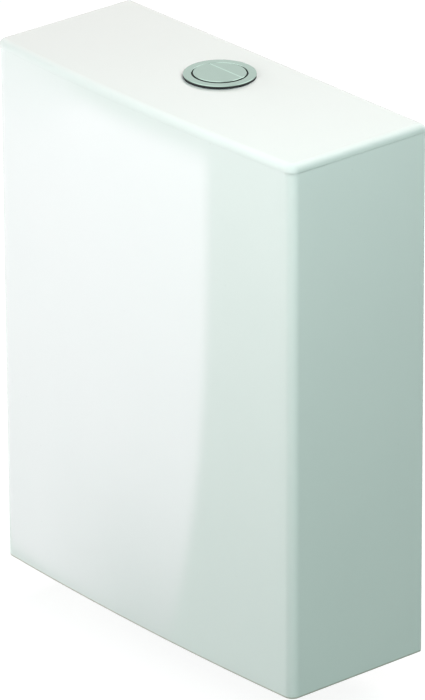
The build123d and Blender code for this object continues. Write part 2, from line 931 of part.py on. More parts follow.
def fill_valve_head():
    """Body of the fill valve on the riser, with the seat of the diaphragm."""
    outline = [
        (pipe_bore, riser_top_level),
        (riser_radius, riser_top_level),
        (head_radius, riser_top_level + head_step),
        (head_radius, head_top),
        (pipe_bore, head_top),
    ]
    return Pos(fill_x, 0, 0) * turned(*outline)


def diaphragm():
    return disc(head_radius, head_top, cap_low, fill_x)


def fill_valve_cap():
    """Screw cap over the diaphragm, with the two ears of the float arm."""
    outer = head_radius + thread_clearance + cap_wall
    skirt_low = head_top - cap_skirt
    outline = [
        (0, cap_low),
        (head_radius + thread_clearance, cap_low),
        (head_radius + thread_clearance, skirt_low),
        (outer, skirt_low),
        (outer, cap_top),
        (0, cap_top),
    ]
    body = turned(*outline)
    body -= disc(pilot_radius + thread_clearance, cap_low - cut_over, cap_top + cut_over)
    ear = Circle(arm_hub_radius) + Pos(0, -arm_above_cap / 2) * Rectangle(2 * arm_hub_radius, arm_above_cap)
    ear = Pos(arm_pivot_offset, arm_height) * ear
    for side in (-1, 1):
        body += side_plate(ear, ear_wall, side * (ear_inner + ear_wall / 2))
    reach = ear_outer + cut_over
    body -= cross_pin(arm_pin_radius + pin_clearance, -reach, reach, arm_pivot_offset, arm_height)
    return Pos(fill_x, 0, 0) * body


def pilot_jet():
    """Small nozzle that the arm's nose closes when the float is up."""
    return ring(pilot_radius, pilot_bore, cap_low, pilot_top, fill_x)


def arm_pin():
    pin = cross_pin(arm_pin_radius, -ear_outer, ear_outer, fill_x + arm_pivot_offset, arm_height)
    return pin


def float_arm():
    """Lever of the fill valve: over the jet at one end, on the float's link at the other."""
    half = arm_half_height
    slot_half = link_pin_radius + link_slot_play
    slide = arm_link_radius * (1 - cos(arm_swing / 2))
    end = arm_link_radius + slot_half + slide + half
    bar = Polygon((-pilot_reach, -half), (end, -half), (end, half), (-pilot_reach, half), align=None)
    eye = Pos(arm_link_radius, 0) * Circle(slot_half + half)
    shape = bar + eye + Circle(arm_hub_radius) + Pos(-pilot_reach, 0) * Circle(arm_nose_radius)
    shape -= Circle(arm_pin_radius + pin_clearance)
    slot = SlotCenterToCenter(slide, 2 * slot_half)
    shape -= Pos(arm_link_radius + slide / 2, 0) * slot
    body = side_plate(shape, arm_width)
    fork_low = arm_link_radius - slot_half - half
    fork_half = arm_fork_gap / 2
    high = slot_half + half + cut_over
    body -= block(fork_low, end + cut_over, -fork_half, fork_half, -high, high)
    return Pos(fill_x + arm_pivot_offset, 0, arm_height) * Rot(0, degrees(arm_swing / 2), 0) * body


def link_bar(half, low, high):
    """Square bar along the link's axis, seen from the riser."""
    return block(link_x - half, link_x + half, -half, half, low, high)


def fill_float():
    """Upturned float that slides on the riser, with a lug for the link."""
    inner = riser_radius + float_clearance
    core = inner + float_wall
    skin = float_radius - float_wall
    outline = [
        (inner, float_low),
        (core, float_low),
        (core, float_top - float_wall),
        (skin, float_top - float_wall),
        (skin, float_low),
        (float_radius, float_low),
        (float_radius, float_top),
        (inner, float_top),
    ]
    body = turned(*outline)
    half = lug_width / 2
    body += block(skin, link_x + half, -half, half, lug_low, lug_top)
    body -= link_bar(link_half + thread_clearance, lug_low - cut_over, lug_top + cut_over)
    return Pos(fill_x, 0, 0) * body


def float_link():
    """Upright rod from the float's lug to the fork of the arm."""
    rod = link_bar(link_half, lug_low - link_below_lug, link_pin_height + link_half)
    half = arm_width / 2
    rod += cross_pin(link_pin_radius, -half, half, link_x, link_pin_height)
    return Pos(fill_x, 0, 0) * rod


def link_clip():
    """Two clips that hold the link in the float's lug, above and below."""
    hole = link_bar(link_half + thread_clearance, lug_low - link_below_lug, arm_height)
    clips = link_bar(clip_half, lug_top, lug_top + clip_height)
    clips += link_bar(clip_half, lug_low - clip_height, lug_low)
    return Pos(fill_x, 0, 0) * (clips - hole)


pieces = {
    "tank": tank(),
    "lid": lid(),
    "lid_pads": lid_pads(),
    "button_bezel": button_bezel(),
    "bezel_gasket": bezel_gasket(),
    "button_housing": button_housing(),
    "lid_nut": lid_nut(),
    "full_button": full_button(),
    "half_button": half_button(),
    "full_push_rod": push_rod(button_top, -guide_y),
    "half_push_rod": push_rod(button_top - half_button_lower, guide_y),
    "full_rod_nut": rod_nut(-guide_y),
    "half_rod_nut": rod_nut(guide_y),
    "full_button_spring": button_spring(button_top, -guide_y),
    "half_button_spring": button_spring(button_top - half_button_lower, guide_y),
    "flush_valve_base": flush_valve_base(),
    "base_gasket": base_gasket(),
    "flush_backnut": flush_backnut(),
    "coupling_gasket": coupling_gasket(),
    "valve_cage": valve_cage(),
    "lever_bridge": lever_bridge(),
    "lever_pin": lever_pin(),
    "full_lever": full_lever(),
    "half_lever": half_lever(),
    "flush_cup": flush_cup(),
    "cup_seal": cup_seal(),
    "cup_lift_rod": cup_lift_rod(),
    "overflow_tube": overflow_tube(),
    "tube_seal": tube_seal(),
    "seal_retainer": seal_retainer(),
    "flush_float": flush_float(),
    "tube_lift_rod": tube_lift_rod(),
    "coupling_bolts": at_bolts(coupling_bolt),
    "cone_washers": at_bolts(cone_washer),
    "head_washers": at_bolts(head_washer),
    "lower_rubbers": at_bolts(lower_rubber),
    "nut_washers": at_bolts(nut_washer),
    "bolt_nuts": at_bolts(bolt_nut),
    "fill_valve_shank": fill_valve_shank(),
    "inlet_filter": inlet_filter(),
    "shank_washer": shank_washer(),
    "shank_backnut": shank_backnut(),
    "fill_riser": fill_riser(),
    "fill_valve_head": fill_valve_head(),
    "diaphragm": diaphragm(),
    "fill_valve_cap": fill_valve_cap(),
    "pilot_jet": pilot_jet(),
    "arm_pin": arm_pin(),
    "float_arm": float_arm(),
    "fill_float": fill_float(),
    "float_link": float_link(),
    "link_clip": link_clip(),
}

os.makedirs("parts", exist_ok=True)
for name, piece in pieces.items():
    export_step(piece, f"parts/{name}.step")
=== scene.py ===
# %% [markdown]
# # A close-coupled toilet cistern
#
# The real thing is a tall box of glazed vitreous china with a slightly bowed front.
# A flat china lid carries a round chrome push button, and the valves inside are moulded plastic.
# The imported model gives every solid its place, so this script only adds looks:
# finer pieces where the solids are plain, a finish for each material, a studio and a camera.
# All lengths are in metres.

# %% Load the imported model
import json
import math

import bpy
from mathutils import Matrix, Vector


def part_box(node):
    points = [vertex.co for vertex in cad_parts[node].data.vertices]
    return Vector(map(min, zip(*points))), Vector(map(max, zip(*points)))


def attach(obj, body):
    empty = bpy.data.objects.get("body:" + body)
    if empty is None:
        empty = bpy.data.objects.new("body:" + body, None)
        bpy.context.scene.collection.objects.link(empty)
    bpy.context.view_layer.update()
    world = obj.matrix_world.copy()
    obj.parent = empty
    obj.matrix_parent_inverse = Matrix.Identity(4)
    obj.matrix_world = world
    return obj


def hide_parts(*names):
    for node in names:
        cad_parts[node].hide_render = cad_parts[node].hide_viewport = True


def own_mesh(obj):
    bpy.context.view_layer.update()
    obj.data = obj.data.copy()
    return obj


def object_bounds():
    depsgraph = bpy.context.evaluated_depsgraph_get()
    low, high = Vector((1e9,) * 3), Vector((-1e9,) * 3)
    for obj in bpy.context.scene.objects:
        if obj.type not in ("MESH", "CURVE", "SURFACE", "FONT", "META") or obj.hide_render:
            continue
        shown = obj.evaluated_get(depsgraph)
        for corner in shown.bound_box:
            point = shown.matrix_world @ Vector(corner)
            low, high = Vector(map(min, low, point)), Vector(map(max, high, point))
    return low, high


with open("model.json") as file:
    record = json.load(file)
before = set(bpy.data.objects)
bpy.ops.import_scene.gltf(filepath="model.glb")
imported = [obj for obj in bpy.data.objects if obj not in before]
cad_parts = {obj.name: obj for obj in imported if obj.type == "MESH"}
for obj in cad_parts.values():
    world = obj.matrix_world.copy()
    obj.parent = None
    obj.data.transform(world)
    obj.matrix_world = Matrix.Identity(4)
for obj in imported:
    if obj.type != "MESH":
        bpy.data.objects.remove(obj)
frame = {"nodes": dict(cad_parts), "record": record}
cad_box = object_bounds()
print("CAD box:", [[round(v, 4) for v in corner] for corner in cad_box])

# %% Units
MM = 0.001


def mm(*values):
    """Lengths given in millimetres, in metres: one number, or a tuple of several."""
    metres = tuple(value * MM for value in values)
    return metres[0] if len(metres) == 1 else metres


def per_metre(size_mm):
    """Texture scale at which one feature has this size in millimetres."""
    return 1 / mm(size_mm)


# %% [markdown]
# ## Nodes and colours
#
# A material is a small graph of nodes. One helper adds a node, sets its fields and fills its sockets,
# either with plain values or with the output of another node.
# Colours are written as sRGB hex, as a paint chart gives them, and turned to linear light once.

# %% Colours
def colour(code):
    """Linear RGBA from an sRGB hex code."""
    channels = [int(code[i:i + 2], 16) / 255 for i in (1, 3, 5)]
    linear = [c / 12.92 if c <= 0.04045 else ((c + 0.055) / 1.055) ** 2.4 for c in channels]
    return (*linear, 1)


# %% Nodes
def add_node(tree, kind, sockets=None, **fields):
    """Add a node, set its fields, and fill its sockets with values, sockets or whole nodes."""
    node = tree.nodes.new(kind)
    for name, value in fields.items():
        setattr(node, name, value)
    for key, value in (sockets or {}).items():
        socket = node.inputs[key] if isinstance(key, int) else next(
            s for s in node.inputs if s.enabled and s.name == key)
        if isinstance(value, bpy.types.Node):
            value = next(s for s in value.outputs if s.enabled)
        if isinstance(value, bpy.types.NodeSocket):
            tree.links.new(value, socket)
        else:
            socket.default_value = value
    return node


def new_material(name):
    """An empty node material, its tree, and the place on the piece that patterns read."""
    material = bpy.data.materials.new(name)
    material.use_nodes = True
    tree = material.node_tree
    tree.nodes.clear()
    place = add_node(tree, "ShaderNodeTexCoord").outputs["Object"]
    return material, tree, place


# %% [markdown]
# ## Vitreous china
#
# Sanitary ware is cast in plaster moulds, sprayed with glaze and fired at about 1200 degrees.
# The glaze is a clear glass over a white body, so it reflects like glass and keeps a faint waviness.
# Here and there it has a pinhole. The piece stands in the kiln on its sole, and that rim stays unglazed and
# matt.
# Its band is darker than the glaze, partly the unglazed body's own tone and partly a painted shade along the
# foot.
# The waves are a bump from broad noise, because modelled waves would need many faces and look the same.
# The height above the sole tells the rim from the glaze, so the solid needs no second material.

# %% The glaze, and the unglazed rim it stood on, darkened as painted shade at the foot
# Height of the unglazed rim, whose darker tone is also painted shade along the foot.
BISCUIT_AND_FOOT_SHADE_HEIGHT = mm(2.4)


def vitreous_china():
    """Glassy white glaze, slightly wavy, over an unglazed rim at the sole, darkened as painted shade."""
    material, tree, place = new_material("vitreous_china_glazed")
    cloud = add_node(tree, "ShaderNodeTexNoise",
                     {"Vector": place, "Scale": per_metre(90), "Detail": 2.0, "Roughness": 0.5})
    speck = add_node(tree, "ShaderNodeTexVoronoi", {"Vector": place, "Scale": per_metre(17)})
    pinhole = add_node(tree, "ShaderNodeMapRange",
                       {"Value": speck, "From Min": 0.012, "From Max": 0.03,
                        "To Min": 1.0, "To Max": 0.0})
    white = add_node(tree, "ShaderNodeMix", {"Factor": cloud, "A": colour("#EEF2F0"),
                                             "B": colour("#F1F4F2")}, data_type="RGBA")
    glaze = add_node(tree, "ShaderNodeMix", {"Factor": pinhole, "A": white,
                                             "B": colour("#DDE0DC")}, data_type="RGBA")
    grit = add_node(tree, "ShaderNodeTexNoise", {"Vector": place, "Scale": per_metre(1.5), "Detail": 6.0})
    # Tone of the unglazed rim: the body's own colour, darkened further as painted shade along the foot.
    clay_and_foot_shade = add_node(tree, "ShaderNodeMix", {"Factor": grit, "A": colour("#B9B3A6"),
                                            "B": colour("#CDC7BB")}, data_type="RGBA")
    height = add_node(tree, "ShaderNodeSeparateXYZ", {"Vector": place}).outputs["Z"]
    bare_and_painted_shade = add_node(tree, "ShaderNodeMapRange",
                    {"Value": height, "From Min": BISCUIT_AND_FOOT_SHADE_HEIGHT / 2, "From Max": BISCUIT_AND_FOOT_SHADE_HEIGHT,
                     "To Min": 1.0, "To Max": 0.0})
    base = add_node(tree, "ShaderNodeMix", {"Factor": bare_and_painted_shade, "A": glaze,
                                            "B": clay_and_foot_shade}, data_type="RGBA")
    rough = add_node(tree, "ShaderNodeMapRange",
                     {"Value": bare_and_painted_shade, "To Min": 0.09, "To Max": 0.85})
    swell = add_node(tree, "ShaderNodeTexNoise", {"Vector": place, "Scale": per_metre(70), "Detail": 1.0})
    waviness = add_node(tree, "ShaderNodeBump",
                        {"Height": swell, "Strength": 1.0, "Distance": mm(0.12)})
    peel = add_node(tree, "ShaderNodeTexNoise", {"Vector": place, "Scale": per_metre(4), "Detail": 1.0})
    surface = add_node(tree, "ShaderNodeBump",
                       {"Height": peel, "Strength": 1.0, "Distance": mm(0.002),
                        "Normal": waviness})
    shader = add_node(tree, "ShaderNodeBsdfPrincipled",
                      {"Base Color": base, "Roughness": rough,
                       "Normal": surface, "IOR": 1.52})
    add_node(tree, "ShaderNodeOutputMaterial", {"Surface": shader})
    return material


# %% [markdown]
# ## Chrome on plastic
#
# The button and its ring are ABS mouldings with a bright plated skin of chromium over nickel.
# Chromium reflects a little over half of the light, a shade cooler than steel.
# Fingers leave faint smears, which only show as small changes in gloss.
# The plating covers the face and the edges of a moulding. Its upright sides are drawn black: uncoated
# plastic, and also a painted shade for the gaps round the button and under the ring's edge. The direction
# that a surface faces picks between the two, so one material serves every plated moulding.

# %% Bright chrome plating
def chrome_plating():
    """Mirror-like grey metal with faint smears, black on upright sides as uncoated plastic and painted
    shade.
    """
    material, tree, place = new_material("chrome_plated_abs")
    smear = add_node(tree, "ShaderNodeTexNoise",
                     {"Vector": place, "Scale": per_metre(14), "Detail": 3.0, "Distortion": 0.6})
    rough = add_node(tree, "ShaderNodeMapRange",
                     {"Value": smear, "From Min": 0.35, "From Max": 0.75,
                      "To Min": 0.09, "To Max": 0.15})
    tone = add_node(tree, "ShaderNodeMix", {"Factor": smear, "A": colour("#A9C0B5"),
                                            "B": colour("#ADC4B9")}, data_type="RGBA")
    ripple = add_node(tree, "ShaderNodeTexNoise", {"Vector": place, "Scale": per_metre(5), "Detail": 1.0})
    skin = add_node(tree, "ShaderNodeBump",
                    {"Height": ripple, "Strength": 1.0, "Distance": mm(0.001)})
    plated = add_node(tree, "ShaderNodeBsdfPrincipled",
                      {"Base Color": tone, "Roughness": rough,
                       "Normal": skin, "Metallic": 1.0})
    # Black of the upright sides: uncoated plastic, and painted shade in the gaps round the button.
    bare_and_painted_shade = add_node(tree, "ShaderNodeBsdfPrincipled", {"Base Color": colour("#151718"), "Roughness": 0.5})
    normal = add_node(tree, "ShaderNodeTexCoord").outputs["Normal"]
    upward = add_node(tree, "ShaderNodeSeparateXYZ", {"Vector": normal}).outputs["Z"]
    face = add_node(tree, "ShaderNodeMapRange", {"Value": upward, "From Min": 0.1, "From Max": 0.3})
    shader = add_node(tree, "ShaderNodeMixShader", {"Fac": face, 1: bare_and_painted_shade, 2: plated})
    add_node(tree, "ShaderNodeOutputMaterial", {"Surface": shader})
    return material


# %% [markdown]
# ## Moulded plastics
#
# The valves are injection moulded. The tools are spark eroded, which leaves a fine even grain,
# and the melt leaves soft flow marks. One recipe serves three plastics that differ in colour and gloss.
# The real grain is finer than a tenth of a millimetre. It is drawn half a millimetre wide, so that it shows.

# %% ABS, acetal and polypropylene
def moulded_plastic(name, dark, light, gloss_low, gloss_high, ior):
    """Plastic with a spark-eroded grain and soft flow marks."""
    material, tree, place = new_material(name)
    flow = add_node(tree, "ShaderNodeTexNoise",
                    {"Vector": place, "Scale": per_metre(22), "Detail": 2.0, "Distortion": 1.2})
    base = add_node(tree, "ShaderNodeMix", {"Factor": flow, "A": colour(dark),
                                            "B": colour(light)}, data_type="RGBA")
    rough = add_node(tree, "ShaderNodeMapRange",
                     {"Value": flow, "From Min": 0.3, "From Max": 0.7,
                      "To Min": gloss_low, "To Max": gloss_high})
    grain = add_node(tree, "ShaderNodeTexNoise", {"Vector": place, "Scale": per_metre(0.5), "Detail": 2.0})
    skin = add_node(tree, "ShaderNodeBump",
                    {"Height": grain, "Strength": 0.6, "Distance": mm(0.02)})
    shader = add_node(tree, "ShaderNodeBsdfPrincipled",
                      {"Base Color": base, "Roughness": rough,
                       "Normal": skin, "IOR": ior})
    add_node(tree, "ShaderNodeOutputMaterial", {"Surface": shader})
    return material


# %% [markdown]
# ## Rubbers
#
# Gaskets are moulded from black rubber, seals from red silicone and the big coupling washer from cellular
# rubber. All are soft and matt. The cellular one shows the cut cells of its foam as small pits,
# which a Voronoi pattern gives, because it is made of cells that touch. The pits are drawn darker, as
# painted shade in the open cells.

# %% Solid rubber
def moulded_rubber(name, dark, light, roughness):
    """Matt rubber with a bloom of paler dust."""
    material, tree, place = new_material(name)
    bloom = add_node(tree, "ShaderNodeTexNoise",
                     {"Vector": place, "Scale": per_metre(6), "Detail": 4.0, "Roughness": 0.6})
    base = add_node(tree, "ShaderNodeMix", {"Factor": bloom, "A": colour(dark),
                                            "B": colour(light)}, data_type="RGBA")
    skin = add_node(tree, "ShaderNodeBump",
                    {"Height": bloom, "Strength": 0.7, "Distance": mm(0.05)})
    shader = add_node(tree, "ShaderNodeBsdfPrincipled",
                      {"Base Color": base, "Roughness": roughness,
                       "Normal": skin, "IOR": 1.5})
    add_node(tree, "ShaderNodeOutputMaterial", {"Surface": shader})
    return material


# %% Cellular rubber
def cellular_rubber():
    """Black foam rubber with open cut cells about 1.2 mm across, drawn darker inside as painted shade."""
    material, tree, place = new_material("cellular_rubber_cut")
    cells = add_node(tree, "ShaderNodeTexVoronoi", {"Vector": place, "Scale": per_metre(1.2)})
    wall = add_node(tree, "ShaderNodeMapRange",
                    {"Value": cells, "From Min": 0.15, "From Max": 0.55})
    # Darker in the pits: painted shade in the open cells.
    base = add_node(tree, "ShaderNodeMix", {"Factor": wall, "A": colour("#101112"),
                                            "B": colour("#2B2D2E")}, data_type="RGBA")
    pits = add_node(tree, "ShaderNodeBump",
                    {"Height": wall, "Strength": 1.0, "Distance": mm(0.35)})
    shader = add_node(tree, "ShaderNodeBsdfPrincipled",
                      {"Base Color": base, "Roughness": 0.9,
                       "Normal": pits, "IOR": 1.5})
    add_node(tree, "ShaderNodeOutputMaterial", {"Surface": shader})
    return material


# %% [markdown]
# ## Metals inside and below
#
# The bolts are zinc plated, which gives crystals of slightly different gloss.
# The springs are drawn wire, with faint lines along the draw. The inlet tail is turned brass,
# with the rings that the lathe tool leaves round its axis. Real tool marks are a few tenths of a
# millimetre apart. A wave pattern draws them about 3 mm apart, so that they show.

# %% Zinc plating
def zinc_plated_steel():
    """Grey metal with a fine crystal pattern of the zinc."""
    material, tree, place = new_material("zinc_plated_steel")
    crystal = add_node(tree, "ShaderNodeTexVoronoi", {"Vector": place, "Scale": per_metre(1.6)})
    base = add_node(tree, "ShaderNodeMix", {"Factor": crystal.outputs["Color"], "A": colour("#A9ADAE"),
                                            "B": colour("#C6C9C8")}, data_type="RGBA")
    rough = add_node(tree, "ShaderNodeMapRange",
                     {"Value": crystal, "To Min": 0.28, "To Max": 0.45})
    shader = add_node(tree, "ShaderNodeBsdfPrincipled",
                      {"Base Color": base, "Roughness": rough,
                       "Metallic": 1.0})
    add_node(tree, "ShaderNodeOutputMaterial", {"Surface": shader})
    return material


# %% Spring wire
def drawn_spring_wire():
    """Stainless wire, bright with faint draw lines."""
    material, tree, place = new_material("drawn_spring_wire")
    squeeze = add_node(tree, "ShaderNodeMapping", {"Vector": place, "Scale": (1.0, 1.0, 6.0)})
    lines = add_node(tree, "ShaderNodeTexNoise",
                     {"Vector": squeeze, "Scale": per_metre(1.5), "Detail": 3.0})
    base = add_node(tree, "ShaderNodeMix", {"Factor": lines, "A": colour("#9FA2A4"),
                                            "B": colour("#C9CBCC")}, data_type="RGBA")
    rough = add_node(tree, "ShaderNodeMapRange",
                     {"Value": lines, "To Min": 0.18, "To Max": 0.38})
    shader = add_node(tree, "ShaderNodeBsdfPrincipled",
                      {"Base Color": base, "Roughness": rough,
                       "Metallic": 1.0})
    add_node(tree, "ShaderNodeOutputMaterial", {"Surface": shader})
    return material


# %% Brass
def turned_brass():
    """Brass with the fine rings of the lathe tool round the fill valve's axis."""
    material, tree, place = new_material("turned_brass")
    low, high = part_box("fill_valve_shank")
    axis = (low + high) / 2
    centred = add_node(tree, "ShaderNodeMapping", {"Vector": place, "Location": (-axis.x, -axis.y, 0)})
    rings = add_node(tree, "ShaderNodeTexWave",
                     {"Vector": centred, "Scale": per_metre(9), "Distortion": 0.6},
                     wave_type="BANDS", bands_direction="Z")
    stain = add_node(tree, "ShaderNodeTexNoise", {"Vector": place, "Scale": per_metre(11), "Detail": 3.0})
    base = add_node(tree, "ShaderNodeMix", {"Factor": stain, "A": colour("#A9843F"),
                                            "B": colour("#CDAA62")}, data_type="RGBA")
    tool = add_node(tree, "ShaderNodeBump",
                    {"Height": rings, "Strength": 0.5, "Distance": mm(0.03)})
    shader = add_node(tree, "ShaderNodeBsdfPrincipled",
                      {"Base Color": base, "Roughness": 0.3,
                       "Normal": tool, "Metallic": 1.0})
    add_node(tree, "ShaderNodeOutputMaterial", {"Surface": shader})
    return material


# %% [markdown]
# ## One finish for each material slot
#
# The record names a slot for every solid. Each slot gets one finish here, and each solid of the packed
# model takes it by its slot, so nothing is left in a flat colour.

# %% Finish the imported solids
finishes = {
    "ceramic": vitreous_china(),
    "chrome": chrome_plating(),
    "white_abs": moulded_plastic("abs_white_moulded", "#E4E4DF", "#EDEDE9", 0.28, 0.4, 1.53),
    "blue_abs": moulded_plastic("acetal_blue_moulded", "#235A93", "#2E6BA6", 0.3, 0.42, 1.48),
    "grey_abs": moulded_plastic("polypropylene_grey_moulded", "#868B8E", "#969A9C", 0.42, 0.55, 1.49),
    "pad_rubber": moulded_rubber("silicone_clear_moulded", "#B9BCBA", "#CBCDCB", 0.45),
    "black_rubber": moulded_rubber("rubber_black_moulded", "#121314", "#26282A", 0.75),
    "foam_rubber": cellular_rubber(),
    "seal_rubber": moulded_rubber("silicone_red_moulded", "#84231D", "#9A3128", 0.5),
    "steel": zinc_plated_steel(),
    "spring_steel": drawn_spring_wire(),
    "brass": turned_brass(),
}
slot_of = {part["node"]: part["material_slot"] for part in frame["record"]["subparts"]}
for name, solid in frame["nodes"].items():
    for material_slot in solid.material_slots:
        material_slot.material = finishes[slot_of[name]]
print("finished", len(slot_of), "solids with", len(finishes), "finishes")

# %% [markdown]
# ## Tools for round pieces
#
# Most hidden pieces are round. A turned piece starts as a circle, which is extruded and scaled along an
# outline of radius and level, and is closed by a bridge. A coil is one small profile that a Screw modifier
# sweeps round the axis: a round profile gives a spring, a pointed one the ridge of a thread.
# The profile starts one metre across, so its real size is also its scale.

# %% Turned pieces
TURN_STEPS = 96


def turned(outline, place=(0, 0)):
    """Ring or tube from an outline of radius and level, walked round from its first point."""
    radius, level = outline[0]
    bpy.ops.object.select_all(action="DESELECT")
    bpy.ops.mesh.primitive_circle_add(vertices=TURN_STEPS, radius=radius, location=(*place, level))
    bpy.ops.object.mode_set(mode="EDIT")
    bpy.ops.mesh.select_all(action="SELECT")
    for (radius, level), (next_radius, next_level) in zip(outline, outline[1:]):
        bpy.ops.mesh.extrude_region_move(TRANSFORM_OT_translate={"value": (0, 0, next_level - level)})
        ratio = next_radius / radius
        bpy.ops.transform.resize(value=(ratio, ratio, 1), center_override=(*place, next_level))
    bpy.ops.mesh.select_all(action="DESELECT")
    bpy.ops.mesh.select_non_manifold()
    bpy.ops.mesh.bridge_edge_loops()
    bpy.ops.mesh.select_all(action="SELECT")
    bpy.ops.mesh.normals_make_consistent(inside=False)
    bpy.ops.object.mode_set(mode="OBJECT")
    return bpy.context.object


# %% Coils
COIL_STEPS = 48
PROFILE_RADIUS = 0.5
UPRIGHT = math.radians(90)


def coil(corners, size, radius, pitch, turns, place, level):
    """Profile of a few corners and a given depth and height, swept up round the axis at a place."""
    depth, height = size
    bpy.ops.object.select_all(action="DESELECT")
    bpy.ops.mesh.primitive_circle_add(vertices=corners, radius=PROFILE_RADIUS, location=(*place, level),
                                      rotation=(UPRIGHT, UPRIGHT, 0))
    bpy.ops.object.transform_apply(location=False, rotation=True, scale=False)
    bpy.ops.object.mode_set(mode="EDIT")
    bpy.ops.mesh.select_all(action="SELECT")
    bpy.ops.transform.resize(value=(depth, 1, height), center_override=(*place, level))
    bpy.ops.transform.translate(value=(radius, 0, 0))
    bpy.ops.object.mode_set(mode="OBJECT")
    piece = bpy.context.object
    bpy.ops.object.modifier_add(type="SCREW")
    sweep = piece.modifiers[-1]
    sweep.screw_offset = pitch
    sweep.iterations = turns
    sweep.steps = sweep.render_steps = COIL_STEPS
    bpy.ops.object.modifier_apply(modifier=sweep.name)
    bpy.ops.object.mode_set(mode="EDIT")
    bpy.ops.mesh.select_all(action="SELECT")
    bpy.ops.mesh.fill_holes(sides=0)
    bpy.ops.mesh.select_all(action="SELECT")
    bpy.ops.mesh.normals_make_consistent(inside=False)
    bpy.ops.object.mode_set(mode="OBJECT")
    return piece


# %% Worn edges, joining and handing over
SMOOTH_ANGLE = math.radians(35)


def rounded_edges(piece, width, segments):
    """Round the sharp edges of the piece that is active."""
    bpy.ops.object.modifier_add(type="BEVEL")
    rounding = piece.modifiers[-1]
    rounding.width = width
    rounding.segments = segments
    rounding.limit_method = "ANGLE"
    bpy.ops.object.modifier_apply(modifier=rounding.name)


def joined(*pieces):
    """Several objects made into one, the first."""
    bpy.ops.object.select_all(action="DESELECT")
    for piece in pieces:
        piece.select_set(True)
    bpy.context.view_layer.objects.active = pieces[0]
    bpy.ops.object.join()
    return bpy.context.object


def hand_over(piece, name, body, slot, *nodes):
    """Name a finished piece, bring its origin home, give it its finish and body, and hide the solids it
    replaces.
    """
    bpy.ops.object.select_all(action="DESELECT")
    piece.select_set(True)
    bpy.context.view_layer.objects.active = piece
    bpy.ops.object.transform_apply(location=True, rotation=True, scale=True)
    bpy.ops.object.shade_smooth_by_angle(angle=SMOOTH_ANGLE)
    piece.name = name
    piece.data.materials.clear()
    piece.data.materials.append(finishes[slot])
    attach(piece, body)
    if nodes:
        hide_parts(*nodes)
    print(name, "has", len(piece.data.polygons), "faces")


# %% [markdown]
# ## Return springs
#
# Each button stands on a spring of round stainless wire. Its open turns end in a closed ring above and
# below, as a compression spring has. The imported spring is a plain stand-in, so this one takes its place.
# It stands on the floor of the housing.

# %% Springs under the buttons
SPRING_WIRE = mm(0.8)
SPRING_TURNS = 5
WIRE_CORNERS = 12


def return_spring(node):
    """Round-wire compression spring with closed ends in place of a packed spring."""
    low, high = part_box(node)
    place = ((low.x + high.x) / 2, (low.y + high.y) / 2)
    radius = (high.x - low.x) / 2 - SPRING_WIRE / 2
    first = low.z + SPRING_WIRE / 2
    last = high.z - SPRING_WIRE / 2
    pitch = (last - first) / SPRING_TURNS
    wire = coil(WIRE_CORNERS, (SPRING_WIRE, SPRING_WIRE), radius, pitch, SPRING_TURNS, place, first)
    rings = []
    for level in (first, last):
        bpy.ops.object.select_all(action="DESELECT")
        bpy.ops.mesh.primitive_torus_add(major_segments=COIL_STEPS, minor_segments=WIRE_CORNERS,
                                         major_radius=radius, minor_radius=SPRING_WIRE / 2,
                                         location=(*place, level))
        rings.append(bpy.context.object)
    spring = joined(wire, *rings)
    hand_over(spring, f"{node}_wire", "lid", "spring_steel", node)
    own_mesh(spring)


return_spring("full_button_spring")
return_spring("half_button_spring")

# %% [markdown]
# ## Coupling gasket
#
# The big ring between tank and pan is soft cellular rubber. It is cut from a moulded blank, so its edges
# are rounded, and its lower outside tapers where it squeezes into the pan's inlet. It is turned from its
# outline, and a Bevel modifier rounds the corners that the outline leaves.

# %% Foam ring under the tank
GASKET_BORE = mm(30.1)
GASKET_NUT_BORE = mm(40.1)
GASKET_NUT_DEPTH = mm(12)
GASKET_TAPER = mm(6)
GASKET_ROUND = mm(1.2)
GASKET_EDGE = GASKET_ROUND / 3
GASKET_EDGE_STEPS = 3

gasket_low, gasket_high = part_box("coupling_gasket")
gasket_outer = (gasket_high.x - gasket_low.x) / 2
nut_seat = gasket_high.z - GASKET_NUT_DEPTH
gasket = turned([
    (GASKET_NUT_BORE, gasket_high.z - GASKET_ROUND),
    (GASKET_NUT_BORE + GASKET_ROUND, gasket_high.z),
    (gasket_outer - GASKET_ROUND, gasket_high.z),
    (gasket_outer, gasket_high.z - GASKET_ROUND),
    (gasket_outer, nut_seat),
    (gasket_outer - GASKET_TAPER, gasket_low.z + GASKET_ROUND),
    (gasket_outer - GASKET_TAPER - GASKET_ROUND, gasket_low.z),
    (GASKET_BORE + GASKET_ROUND, gasket_low.z),
    (GASKET_BORE, gasket_low.z + GASKET_ROUND),
    (GASKET_BORE, nut_seat),
    (GASKET_NUT_BORE, nut_seat),
])
rounded_edges(gasket, GASKET_EDGE, GASKET_EDGE_STEPS)
hand_over(gasket, "coupling_gasket_foam", "tank", "foam_rubber", "coupling_gasket")

# %% [markdown]
# ## Ring of the push button
#
# The ring is a flat chromed flange with a small round shoulder. It lies on a black moulded gasket, whose
# black side also serves as painted shade: a dark line all round the ring and a dark lining of the gap round
# the button. Both are turned from an outline,
# because a bevel would round the shoulder and the hole's edge by the same amount.

# %% Ring
RING_RADIUS = mm(31.6)
RING_HOLE = mm(24.3)
RING_THICKNESS = mm(1.4)
RING_SHOULDER = mm(0.8)
RING_SHOULDER_STEPS = 8
RING_LEAD_IN = mm(0.3)

